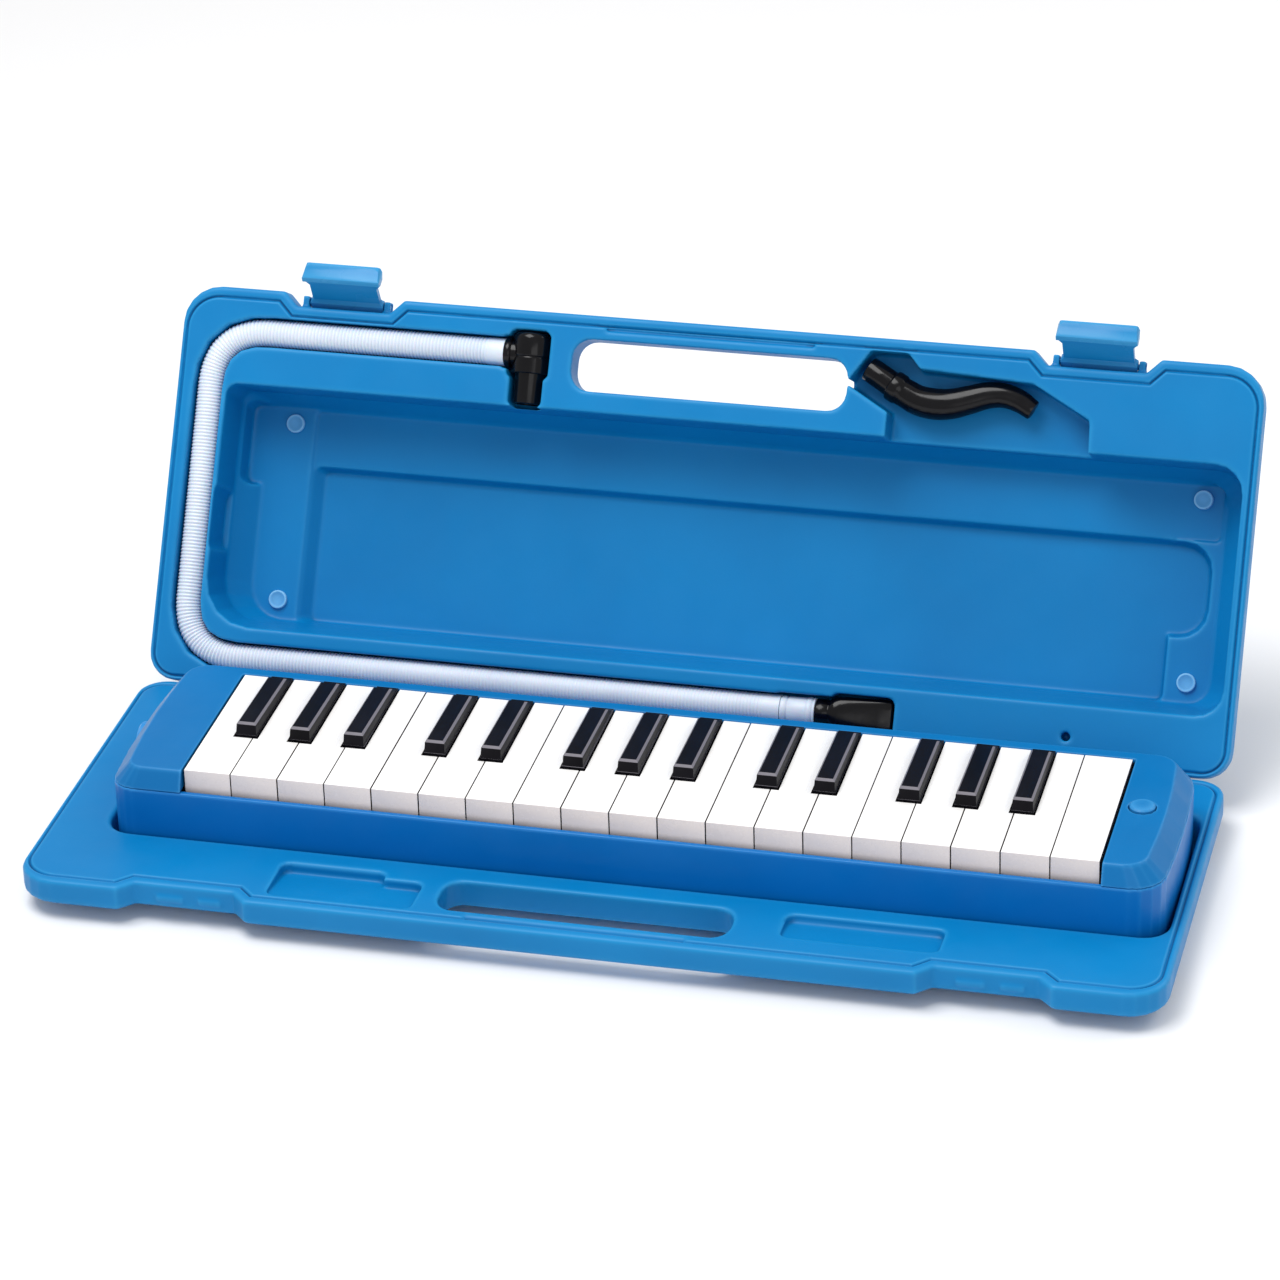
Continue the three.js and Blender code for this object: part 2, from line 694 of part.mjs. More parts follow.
function caseBase() {
  const plate = tower(
    [caseOutline(2.2), -BASE_RIM],
    [caseOutline(0), -BASE_RIM + 2],
    [caseOutline(0), -1],
    [caseOutline(0.8), 0],
  );
  const tray = { left: -34.3, right: 399.6, near: 27.6, far: 126.4 };
  const fingers = { left: 60, right: 340, near: 13.2, far: 60 };
  const hollow = basin(tray, 11).add(basin(fingers, 6));
  const elbowRoom = prism(plan(45.2, 105, 142, 162.2, 3, 2), -4.5, 1).add(
    prism(plan(45.2, 88.5, 137.2, 150, 3, 2), -4.5, 1),
  );
  const mouthpieceRoom = prism(plan(252, 315, 136.7, 154, 3, 2), -3.5, 1);
  const catches = LATCH_X.flatMap((x) => [
    box([x - 11.5, -164.6, -7.2], [x - 0.5, -161, -5]),
    box([x + 6, -164.6, -7.2], [x + 15, -161, -5]),
  ]);
  const stop = (x) =>
    prismX([[-2, -10.6], [8, -8.4], [9.2, -6.1], [4.2, -3.1], [0.2, -4.6], [-2, -5]], x, x + 14);
  const shells = [basinShell(tray, 11), basinShell(fingers, 6)];
  const body = joined([plate, ...shells, ...catches, stop(-20), stop(372)]);
  const rough = cut(
    body,
    hollow,
    elbowRoom,
    mouthpieceRoom,
    handleSlot(),
    thinGroove(-2, 1),
    knuckleRoom(LID_SPANS),
  );
  return rough.add(knuckles(BASE_SPANS, -KNUCKLE_RADIUS)).subtract(pinBores());
}

/** Where the hose lies: a curve in the lid's plane, from the elbow to the mouthpiece cuff. */
function hosePath() {
  const path = new THREE.CurvePath();
  const far = -HOSE_FAR;
  const near = -HOSE_NEAR;
  const at = (x, y) => new THREE.Vector3(x, y, HOSE_H);
  const corner = (from, knee, to) => new THREE.QuadraticBezierCurve3(from, knee, to);
  const bend = HOSE_BEND * 1.12;
  const turnIn = at(HOSE_LEFT + bend, far);
  const turnDown = at(HOSE_LEFT, far + bend);
  const turnOut = at(HOSE_LEFT, near - bend);
  const turnAlong = at(HOSE_LEFT + bend, near);
  path.add(new THREE.LineCurve3(at(HOSE_START, far), turnIn));
  path.add(corner(turnIn, at(HOSE_LEFT, far), turnDown));
  path.add(new THREE.LineCurve3(turnDown, turnOut));
  path.add(corner(turnOut, at(HOSE_LEFT, near), turnAlong));
  path.add(new THREE.LineCurve3(turnAlong, at(HOSE_END, near)));
  return path;
}

/** Band of the given half width along the hose's route, cut from z = -1 to depth. */
function hoseGroove(halfWidth, depth) {
  const points = hosePath().getSpacedPoints(HOSE_STEPS);
  const side = (sign) =>
    points.map((point, i) => {
      const before = points[Math.max(0, i - 1)];
      const after = points[Math.min(points.length - 1, i + 1)];
      const way = after.clone().sub(before).normalize();
      return [point.x - sign * halfWidth * way.y, point.y + sign * halfWidth * way.x];
    });
  return prism([...side(-1), ...side(1).reverse()], -1, depth);
}

function lidRecess() {
  const ends = tower(
    [plan(-36.4, 400, 25, 128.7, [5, 12, 11, 20]), -1],
    [plan(-34.4, 399.5, 28.4, 127.6, [5, 12, 11, 18]), LID_SHOULDER],
    [plan(-25.2, 391.2, 30.4, 122.8, [5, 11, 10, 15]), LID_ENDS],
  );
  const overFarEnd = tower(
    [plan(-34.4, -10, 87, 127, 4), 10],
    [plan(-32, -10, 88, 122.8, 4), LID_ENDS],
  );
  const overKeys = tower(
    [plan(-4.5, 372, 30.6, 122.6, 3), LID_ENDS - 1],
    [plan(-4, 371.5, 30.8, 122.2, 3), LID_LEDGE],
  );
  const overFarButton = tower(
    [plan(360, 390.6, 98, 122.6, 3), LID_ENDS - 1],
    [plan(360, 390, 98.4, 122.2, 3), LID_LEDGE],
  );
  const overBlackKeys = tower(
    [plan(-3.5, 371.5, 30.8, 98.5, 3), LID_LEDGE - 0.5],
    [plan(1.5, 370.5, 31.4, 96.5, 2.5), LID_CEILING],
  );
  const overButton = tower(
    [plan(335, 387.6, 57.5, 98.5, 12), LID_ENDS - 1],
    [plan(335, 386, 59, 96.5, 12), LID_CEILING],
  );
  const overInlet = tower(
    [plan(-37.2, -20, 54, 88, 6), -1],
    [plan(-36.9, -20, 57, 84, 5), INLET_Z + INLET_RADIUS + 29.4],
  );
  const overEnds = [ends, overFarEnd, overInlet];
  return joined([...overEnds, overKeys, overFarButton, overBlackKeys, overButton]);
}

/** Pockets for the elbow, the hose mouthpiece and the short mouthpiece. */
function lidPockets() {
  const elbow = prism(plan(85.8, 103.7, 140.4, 161.4, 2, 1), -1, 16);
  const elbowPlug = prism(plan(87.6, 101.9, 128.4, 143, 2, 1), -1, 14);
  const collar = prism(plan(82.6, 88, HOSE_FAR - 7, HOSE_FAR + 7, 1, 1), -1, 13.4);
  const cuff = prism(plan(HOSE_END - 2, 243, HOSE_NEAR - 6.9, HOSE_NEAR + 6.9, 1, 1), -1, 13);
  const mouthpiece = prism(
    plan(238, MOUTHPIECE_END + 1.2, HOSE_NEAR - 8.6, HOSE_NEAR + 8.6, 3, 2),
    -1,
    13,
  );
  const curved = [
    [231.4, -149.6],
    [241, -164.2],
    [256.4, -164.2],
    [262, -158],
    [309.6, -155.6],
    [334.4, -142.3],
    [335.5, -124],
    [250, -124],
    [250, -139],
  ];
  return joined([elbow, elbowPlug, collar, cuff, mouthpiece, prism(curved, -1, 15)]);
}

function caseLid() {
  const plate = tower(
    [caseOutline(0.8), 0.2],
    [caseOutline(0), 1.2],
    [caseOutline(0), LID_RIM - 2.5],
    [caseOutline(2.6), LID_RIM],
  );
  const belly = tower(
    [plan(-38.8, 403.4, 21.6, 132, 10), 10],
    [plan(-37.8, 402.6, 24.8, 131, 10), 22],
    [plan(-35.2, 397.6, 26, 128.4, 10), 31],
    [plan(-28, 391.5, 26.6, 126.4, 9), LID_TOP - 1.5],
    [plan(-26, 389.5, 28.6, 124.4, 8), LID_TOP],
  );
  // the outside swells where a pocket is deeper than the rim
  const swelling = (left, right, near, far, top) =>
    tower(
      [plan(left, right, near, far, 6, 2), LID_RIM - 4],
      [plan(left + 2, right - 2, near + 2, far - 1.5, 5, 2), top],
    );
  const swellings = [
    swelling(228, 306, 120, 167, 18),
    swelling(298, 339, 120, 159, 18),
    swelling(80, 110, 120, 166, 18.6),
    swelling(-43, -20, 46, 92, 22.4),
  ];
  const ears = LATCH_X.flatMap((x) => [x - LATCH_FOOT - 3.4, x + LATCH_FOOT + 0.4]).map((x) =>
    box([x, -LATCH_PIVOT_V - 2.4, LATCH_PIVOT_H - 2.8], [x + 3, -160, LATCH_PIVOT_H + 2.8]),
  );
  const earBores = LATCH_X.map((x) =>
    rodX(1.6, x - 22, x + 22, -LATCH_PIVOT_V, LATCH_PIVOT_H, 12),
  );
  const vent = turnedZ([[0, -1], [2, -1], [2, 6], [0, 6]], 337.2, -11.8, 12);
  const rough = cut(
    joined([plate, belly, ...swellings, ...ears]),
    lidRecess(),
    lidPockets(),
    hoseGroove(HOSE_RADIUS + 0.5, 12.5),
    handleSlot(),
    thinGroove(-1, 2.2),
    vent,
    joined(earBores),
    knuckleRoom(BASE_SPANS),
  );
  return rough.add(knuckles(LID_SPANS, KNUCKLE_RADIUS)).subtract(pinBores());
}

/** A disc glued under the lid's ceiling; its face is at the same depth wherever it is. */
function lidPad(x, v, ceiling) {
  const top = ceiling - CLEAR;
  const profile = [[0, 28.9], [3.4, 28.9], [4, 29.4], [4, top], [0, top]];
  return turnedZ(profile, x, -v, 16);
}

/** Latch seen from its end: u runs from the pivot to the finger lip, t to the hooked side. */
function latch(x) {
  const profile = [
    [-1.4, -1.9],
    [0.6, -2.5],
    [3, -1.5],
    [11, -1.3],
    [14.4, -2.2],
    [17.6, -4.2],
    [19.4, -5],
    [20.6, -4.6],
    [20.8, -3.4],
    [19.8, -1.2],
    [19.2, 1.4],
    [18.6, 2.5],
    [17.8, 2.7],
    [16.2, 2.7],
    [15.4, 1.1],
    [4, 1.1],
    [2, 2.1],
    [-1.4, 1.9],
    [-2.4, 0],
  ];
  // right half of the face, from the foot up to the middle of the lip
  const face = [
    [LATCH_FOOT, -3],
    [LATCH_FOOT, 2.4],
    [LATCH_NECK, 3.8],
    [LATCH_NECK, 12.6],
    [LATCH_HALF, 15.2],
    [LATCH_HALF, 18.2],
    [LATCH_HALF - 1, 20.2],
    [LATCH_HALF - 3, 21],
  ];
  const mirrored = face.map(([across, u]) => [x - across, u]).reverse();
  const outline = [...face.map(([across, u]) => [x + across, u]), ...mirrored];
  const slab = prismX(profile, x - LATCH_HALF, x + LATCH_HALF);
  const arm = slab.intersect(prism(outline, -8, 8));
  return arm.add(rodX(1.3, x - LATCH_FOOT - 2.8, x + LATCH_FOOT + 2.8, 0, 0, 10));
}

// ---- hose, elbow and mouthpieces, laid in the lid --------------------------------------------
function hose() {
  const sides = 8;
  const section = new THREE.Shape(
    Array.from({ length: sides }, (_, i) => {
      const angle = (2 * Math.PI * i) / sides;
      return new THREE.Vector2(HOSE_RADIUS * Math.cos(angle), HOSE_RADIUS * Math.sin(angle));
    }),
  );
  const options = { steps: HOSE_STEPS, extrudePath: hosePath(), bevelEnabled: false };
  return solid(new THREE.ExtrudeGeometry(section, options));
}

function hoseCuff() {
  const profile = [
    [0, HOSE_END + CLEAR],
    [5.4, HOSE_END + CLEAR],
    [5.8, HOSE_END + 2],
    [5.8, CUFF_END - 3],
    [6.1, CUFF_END - 3],
    [6.1, CUFF_END],
    [0, CUFF_END],
  ];
  return turnedX(profile, -HOSE_NEAR, HOSE_H, 16);
}

function elbow() {
  const body = [
    [0, -160.6],
    [7.6, -160.6],
    [8.5, -159.7],
    [8.5, -142.9],
    [6.5, -142.9],
    [6.3, -130.4],
    [4.6, -130.4],
    [4.4, -133.4],
    [0, -133.4],
  ];
  const points = body.map(([radius, y]) => new THREE.Vector2(radius, y));
  const upright = solid(new THREE.LatheGeometry(points, 20).translate(ELBOW_X, 0, ELBOW_H));
  const collar = turnedX(
    [[0, HOSE_START + CLEAR], [6.4, HOSE_START + CLEAR], [6.4, 90], [0, 90]],
    -HOSE_FAR,
    HOSE_H,
    16,
  );
  return upright.add(collar);
}

/** Oval ring across the x direction: half height in v, half thickness in h. */
function ovalX(x, y, z, halfV, halfH, squareness, sides = 16) {
  return Array.from({ length: sides }, (_, i) => {
    const angle = (2 * Math.PI * i) / sides;
    const bend = (value) => Math.sign(value) * Math.abs(value) ** squareness;
    return new THREE.Vector3(
      x,
      y + halfV * bend(Math.cos(angle)),
      z + halfH * bend(Math.sin(angle)),
    );
  });
}

function hoseMouthpiece() {
  const start = CUFF_END + CLEAR;
  const at = (x, v, h, square) => ovalX(start + x, -HOSE_NEAR, HOSE_H, v, h, square);
  const body = loft([
    at(0, 5.6, 5.6, 1),
    at(6, 5.8, 5.6, 1),
    at(9, 7, 5.8, 0.8),
    at(13, 7.5, 5.2, 0.6),
    at(MOUTHPIECE_END - start, 7.9, 3, 0.45),
  ]);
  const slit = box(
    [MOUTHPIECE_END - 10, -HOSE_NEAR - 5.5, HOSE_H - 1.2],
    [MOUTHPIECE_END + 1, -HOSE_NEAR + 5.5, HOSE_H + 1.2],
  );
  return body.subtract(slit);
}

/** The short mouthpiece: stations of [x, v, in-plane radius, depth radius] along its S bend. */
function shortMouthpiece() {
  const stations = [
    [239.2, 157.2, 5.3, 5.3],
    [249.6, 151.3, 5.5, 5.5],
    [250.2, 150.9, 6.6, 6.6],
    [253.6, 149, 6.6, 6.6],
    [254.4, 148.6, 6.1, 6.1],
    [261.4, 145.8, 6.1, 6.1],
    [268.4, 145, 5.9, 5.9],
    [275.4, 145.6, 5.6, 5.6],
    [283, 147.9, 5.2, 5.2],
    [290.4, 150.3, 4.8, 4.8],
    [297.4, 150.7, 4.5, 4.4],
    [304, 148.7, 4.4, 3.8],
    [310, 145, 4.3, 3.2],
  ];
  const depth = 7.3;
  const rings = stations.map(([x, v, across, deep], i) => {
    const before = stations[Math.max(0, i - 1)];
    const after = stations[Math.min(stations.length - 1, i + 1)];
    const way = new THREE.Vector3(after[0] - before[0], before[1] - after[1], 0).normalize();
    const out = new THREE.Vector3(way.y, -way.x, 0);
    return Array.from({ length: 14 }, (_, k) => {
      const angle = (2 * Math.PI * k) / 14;
      return new THREE.Vector3(x, -v, depth)
        .addScaledVector(out, across * Math.cos(angle))
        .add(new THREE.Vector3(0, 0, deep * Math.sin(angle)));
    });
  });
  return loft(rings.map((ring) => ring.reverse()));
}

function makeLidContents() {
  return [
    part("hose", hose(), HOSE_WHITE),
    part("hose_cuff", hoseCuff(), HOSE_WHITE),
    part("elbow_connector", elbow(), FITTING_BLACK),
    part("hose_mouthpiece", hoseMouthpiece(), FITTING_BLACK),
    part("short_mouthpiece", shortMouthpiece(), FITTING_BLACK),
  ];
}

function makeLatch(name, x) {
  const pivot = new THREE.Group();
  pivot.position.set(0, -LATCH_PIVOT_V, LATCH_PIVOT_H);
  // u points forward and t down when the angle is 0
  pivot.rotation.x = Math.PI + radians(LATCH_LEAN);
  pivot.add(part(name, latch(x), LATCH_BLUE));
  return pivot;
}

function makeCase() {
  const base = new THREE.Group();
  base.position.set(0, HINGE_Y, FLANGE_Z);
  base.add(part("case_base", caseBase(), CASE_BLUE));
  HINGE_X.forEach((x, i) => {
    const name = i ? "hinge_pin_right" : "hinge_pin_left";
    base.add(part(name, rodX(PIN_RADIUS, x - HINGE_HALF, x + HINGE_HALF, 0, 0, 16), STEEL));
  });
  const lid = new THREE.Group();
  lid.position.set(0, HINGE_Y, FLANGE_Z);
  lid.rotation.x = -radians(OPEN_ANGLE);
  lid.add(part("case_lid", caseLid(), CASE_BLUE), ...makeLidContents());
  const pads = {
    far_left: [-12.8, 115.7, LID_ENDS],
    near_left: [-12.8, 39.4, LID_ENDS],
    far_right: [381, 115.7, LID_LEDGE],
    near_right: [381, 39.4, LID_ENDS],
  };
  for (const [name, place] of Object.entries(pads)) {
    lid.add(part(`lid_pad_${name}`, lidPad(...place), PAD_PALE));
  }
  lid.add(makeLatch("latch_left", LATCH_X[0]), makeLatch("latch_right", LATCH_X[1]));
  const whole = new THREE.Group();
  whole.add(base, lid);
  return whole;
}

// ---- the whole object, origin at the middle of its base ---------------------------------------
const melodica = new THREE.Group();
melodica.add(makeCase(), makeMelodica());
const bounds = new THREE.Box3().setFromObject(melodica, true);
const middle = bounds.getCenter(new THREE.Vector3());
melodica.position.set(-middle.x, -middle.y, -bounds.min.z);

export default melodica;
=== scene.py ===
"""Looks of a 32-key melodica lying in its open carrying case.

Lengths are in millimetres until a mesh is finished. They are laid out as the CAD part is:
x = 0 at the left edge of the lowest white key, y = 0 at the front of the white keys, z = 0 on
their tops. Pieces of the lid are laid out by x, by v, the distance from the hinge line, and by
h, the depth behind the plane where the two halves of the case meet.
"""

import json
import math

import bmesh
import bpy
import numpy as np
from mathutils import Matrix, Vector


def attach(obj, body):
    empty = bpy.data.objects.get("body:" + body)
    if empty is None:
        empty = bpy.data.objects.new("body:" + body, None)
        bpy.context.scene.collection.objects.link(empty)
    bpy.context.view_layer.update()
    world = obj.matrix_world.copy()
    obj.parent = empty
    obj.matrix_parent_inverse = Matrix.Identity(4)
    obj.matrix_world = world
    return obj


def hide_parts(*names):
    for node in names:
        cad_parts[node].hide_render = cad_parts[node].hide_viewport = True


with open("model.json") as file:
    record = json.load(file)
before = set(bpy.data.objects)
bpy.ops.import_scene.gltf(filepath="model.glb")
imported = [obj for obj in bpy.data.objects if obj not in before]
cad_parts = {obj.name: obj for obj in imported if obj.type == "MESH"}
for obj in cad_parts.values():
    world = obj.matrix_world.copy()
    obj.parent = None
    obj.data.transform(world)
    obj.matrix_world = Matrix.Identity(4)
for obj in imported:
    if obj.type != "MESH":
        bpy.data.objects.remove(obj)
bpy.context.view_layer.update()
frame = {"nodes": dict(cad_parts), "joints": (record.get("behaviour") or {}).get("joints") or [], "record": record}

MM = 0.001
HINGE_Y = 121.2
FLANGE_Z = -28.5
OPEN_ANGLE = 120.8
MIDDLE_X = 175.25

CASE_LEFT, CASE_RIGHT, CASE_DEPTH = -58.5, 405.5, 169.7
FRONT_RADIUS, REAR_RADIUS = 16.0, 12.0
LATCH_X = (11.8, 335.5)
NOTCH_INNER, NOTCH_DEPTH = 20.5, 6.0
GROOVE_WIDTH, GROOVE_DEPTH = 1.0, 1.3
CASE_VOXEL, CASE_SMOOTHING = 0.75, 5
CASE_SHARE = 0.35  # share of the remeshed faces that each half of the case keeps

HOSE_RADIUS = 5.9
HOSE_H = 6.3
HOSE_LEFT, HOSE_FAR, HOSE_NEAR = -44.8, 151.6, 12.3
HOSE_BEND = 24.64
RIB_PITCH = 1.5
HOSE_START, HOSE_END = 83.5, 216.6
CUFF_END, MOUTHPIECE_END = 231.5, 264.0
ELBOW_X, ELBOW_H = 94.7, 6.9
SHORT_MOUTHPIECE_H = 7.3

CAMERA_ANGLES = (14.6, 28.13, -1.73)  # azimuth, elevation and roll
CAMERA_PLACE = (641.8, -1729.2, 1034.1)
CAMERA_LENS = 147.2
FLOOR_REACH = 6.0

hinge = next(joint for joint in frame["joints"] if joint["name"] == "lid_hinge")
origin = Vector(hinge["pos_m"]) - Vector((MIDDLE_X, HINGE_Y, FLANGE_Z)) * MM
KEYBOARD = Matrix.Translation(origin) @ Matrix.Scale(MM, 4)
BASE = KEYBOARD @ Matrix.Translation((0, HINGE_Y, FLANGE_Z))
LID = BASE @ Matrix.Rotation(math.radians(-OPEN_ANGLE), 4, "X")


# ---- camera, light and floor ----------------------------------------------------------------
def make_camera():
    azimuth, elevation, roll = (math.radians(angle) for angle in CAMERA_ANGLES)
    back = Vector((
        math.sin(azimuth) * math.cos(elevation),
        -math.cos(azimuth) * math.cos(elevation),
        math.sin(elevation),
    ))
    level = Vector((math.cos(azimuth), math.sin(azimuth), 0))
    rise = back.cross(level)
    right = math.cos(roll) * level + math.sin(roll) * rise
    up = back.cross(right)
    camera = bpy.data.objects.new("camera", bpy.data.cameras.new("camera"))
    bpy.context.scene.collection.objects.link(camera)
    turn = Matrix((right, up, back)).transposed().to_4x4()
    place = KEYBOARD @ Vector(CAMERA_PLACE)
    camera.matrix_world = Matrix.Translation(place) @ turn
    camera.data.lens = CAMERA_LENS
    camera.data.sensor_width = 36
    camera.data.clip_end = 50
    bpy.context.scene.camera = camera


def area_light(name, place, target, size, power):
    light = bpy.data.lights.new(name, "AREA")
    light.shape = "RECTANGLE"
    light.size, light.size_y = size
    light.energy = power
    lamp = bpy.data.objects.new(name, light)
    lamp.location = place
    lamp.rotation_euler = (Vector(target) - Vector(place)).to_track_quat("-Z", "Y").to_euler()
    bpy.context.scene.collection.objects.link(lamp)


def make_studio():
    scene = bpy.context.scene
    scene.view_settings.view_transform = "Standard"
    world = bpy.data.worlds.new("studio")
    scene.world = world
    world.use_nodes = True
    background = world.node_tree.nodes["Background"]
    background.inputs["Color"].default_value = (1.0, 1.0, 1.0, 1)
    background.inputs["Strength"].default_value = 0.6
    area_light("key_light", (-0.45, -0.35, 1.8), (0, 0, 0.05), (1.2, 1.0), 26)
    area_light("rim_light", (1.2, 0.9, 1.3), (0.05, 0, 0.05), (1.2, 0.6), 8)
    area_light("fill_light", (0.9, -1.8, 0.9), (0, 0, 0.05), (1.4, 0.9), 5)
    floor = bpy.data.objects.new("floor", bpy.data.meshes.new("floor"))
    signs = ((-1, -1), (1, -1), (1, 1), (-1, 1))
    corners = [(FLOOR_REACH * x, FLOOR_REACH * y, 0) for x, y in signs]
    floor.data.from_pydata(corners, [], [(0, 1, 2, 3)])
    floor.data.materials.append(floor_material())
    scene.collection.objects.link(floor)


# ---- materials ------------------------------------------------------------------------------
def srgb(red, green, blue):
    def linear(value):
        value /= 255
        return value / 12.92 if value < 0.04 else ((value + 0.055) / 1.055) ** 2.4

    return (linear(red), linear(green), linear(blue), 1.0)


class Surface:
    """A Principled material with small helpers for noise, mixing and bump."""

    def __init__(self, name):
        self.material = bpy.data.materials.new(name)
        self.material.use_nodes = True
        self.tree = self.material.node_tree
        self.shader = self.tree.nodes["Principled BSDF"]
        self.place = self.tree.nodes.new("ShaderNodeTexCoord").outputs["Object"]

    def noise(self, scale, detail=2.0, roughness=0.5, stretch=None):
        node = self.tree.nodes.new("ShaderNodeTexNoise")
        node.inputs["Scale"].default_value = scale
        node.inputs["Detail"].default_value = detail
        node.inputs["Roughness"].default_value = roughness
        place = self.place
        if stretch:
            mapping = self.tree.nodes.new("ShaderNodeMapping")
            mapping.inputs["Scale"].default_value = stretch
            self.tree.links.new(place, mapping.inputs["Vector"])
            place = mapping.outputs["Vector"]
        self.tree.links.new(place, node.inputs["Vector"])
        return node.outputs["Fac"]

    def ramp(self, value, stops):
        node = self.tree.nodes.new("ShaderNodeValToRGB")
        elements = node.color_ramp.elements
        while len(elements) < len(stops):
            elements.new(0.5)
        for element, (position, color) in zip(elements, stops):
            element.position = position
            element.color = color
        self.tree.links.new(value, node.inputs["Fac"])
        return node.outputs["Color"]

    def spread(self, value, low, high, from_low=0.3, from_high=0.7):
        node = self.tree.nodes.new("ShaderNodeMapRange")
        node.inputs["From Min"].default_value = from_low
        node.inputs["From Max"].default_value = from_high
        node.inputs["To Min"].default_value = low
        node.inputs["To Max"].default_value = high
        self.tree.links.new(value, node.inputs["Value"])
        return node.outputs["Result"]

    def mix(self, factor, low, high):
        node = self.tree.nodes.new("ShaderNodeMix")
        node.data_type = "RGBA"
        sockets = (node.inputs[0], node.inputs[6], node.inputs[7])
        for socket, value in zip(sockets, (factor, low, high)):
            if isinstance(value, (tuple, float)):
                socket.default_value = value
            else:
                self.tree.links.new(value, socket)
        return node.outputs[2]

    def facing(self, axis):
        """How far the surface looks along an axis of the object, from -1 to 1."""
        node = self.tree.nodes.new("ShaderNodeSeparateXYZ")
        normal = self.tree.nodes.new("ShaderNodeTexCoord").outputs["Normal"]
        self.tree.links.new(normal, node.inputs["Vector"])
        return node.outputs[axis]

    def product(self, first, second):
        node = self.tree.nodes.new("ShaderNodeMath")
        node.operation = "MULTIPLY"
        self.tree.links.new(first, node.inputs[0])
        self.tree.links.new(second, node.inputs[1])
        return node.outputs["Value"]

    def pointiness(self):
        return self.tree.nodes.new("ShaderNodeNewGeometry").outputs["Pointiness"]

    def bump(self, height, strength, distance, under=None):
        node = self.tree.nodes.new("ShaderNodeBump")
        node.inputs["Strength"].default_value = strength
        node.inputs["Distance"].default_value = distance
        self.tree.links.new(height, node.inputs["Height"])
        if under:
            self.tree.links.new(under, node.inputs["Normal"])
        return node.outputs["Normal"]

    def finish(self, color=None, roughness=None, normal=None, **values):
        for name, value in (("Base Color", color), ("Roughness", roughness), ("Normal", normal)):
            if value is None:
                continue
            if isinstance(value, (tuple, float)):
                self.shader.inputs[name].default_value = value
            else:
                self.tree.links.new(value, self.shader.inputs[name])
        for name, value in values.items():
            self.shader.inputs[name.replace("_", " ")].default_value = value
        return self.material


def floor_material():
    surface = Surface("floor_paper")
    tone = surface.mix(surface.noise(3, 3), (0.86, 0.86, 0.87, 1), (0.9, 0.9, 0.9, 1))
    return surface.finish(tone, 0.8)


def moulded_plastic(name, dark, light, edge, roughness, grain=0.12):
    """Blown or moulded plastic: cloudy colour, fine grain, a painted highlight along convex edges and painted
    shade in creases.
    """
    surface = Surface(name)
    cloudy = surface.mix(surface.spread(surface.noise(14, 4), 0, 1), dark, light)
    # Pale edge colour where the surface bulges out: a painted highlight along convex edges.
    painted_edge_highlight = surface.ramp(
        surface.pointiness(), [(0.5, (0, 0, 0, 1)), (0.56, (0.6, 0.6, 0.6, 1))]
    )
    # Dark blue where the surface folds inward: painted shade in creases and recesses.
    painted_crease_shade = surface.ramp(
        surface.pointiness(), [(0.4, (1, 1, 1, 1)), (0.485, (0, 0, 0, 1))]
    )
    # Mixes the painted highlight onto convex edges and the painted shade, srgb(0, 52, 104), into creases.
    color = surface.mix(painted_crease_shade, surface.mix(painted_edge_highlight, cloudy, edge), srgb(0, 52, 104))
    gloss = surface.spread(surface.noise(60, 3), roughness - 0.06, roughness + 0.08)
    waves = surface.bump(surface.noise(45, 2), 0.08, 0.002)
    fine = surface.bump(surface.noise(1400, 2), grain, 0.0002, waves)
    return surface.finish(color, gloss, fine, Specular_IOR_Level=0.22)


def polished_plastic(name, dark, light, roughness, specular=0.5):
    """Hard glossy plastic with faint handling scratches."""
    surface = Surface(name)
    color = surface.mix(surface.spread(surface.noise(30, 3), 0, 1), dark, light)
    marks = surface.noise(260, 4, 0.6, stretch=(1, 0.12, 1))
    gloss = surface.spread(marks, roughness - 0.04, roughness + 0.1)
    normal = surface.bump(surface.noise(700, 3), 0.05, 0.0001)
    return surface.finish(color, gloss, normal, Specular_IOR_Level=specular)


def white_key_plastic():
    """Polished white tops, with painted shade: fronts a little darker and warmer, and brownish sides that darken
    the gaps.
    """
    surface = Surface("white_key_plastic")
    key_white = surface.mix(
        surface.spread(surface.noise(30, 3), 0, 1), srgb(243, 241, 239), srgb(251, 250, 249)
    )
    # Front faces get a darker, warmer white: painted shade.
    front = surface.spread(surface.facing("Y"), 1, 0, -0.95, -0.7)
    fronts = surface.mix(front, key_white, srgb(226, 216, 212))
    # Side faces get a dark brown: painted shade in the gaps between keys.
    left = surface.spread(surface.facing("X"), 1, 0, -0.98, -0.85)
    right = surface.spread(surface.facing("X"), 0, 1, 0.85, 0.98)
    shade = srgb(84, 70, 62)
    sides = surface.mix(right, surface.mix(left, fronts, shade), shade)
    marks = surface.noise(260, 4, 0.6, stretch=(1, 0.12, 1))
    gloss = surface.spread(marks, 0.2, 0.34)
    normal = surface.bump(surface.noise(700, 3), 0.03, 0.0001)
    return surface.finish(sides, gloss, normal)


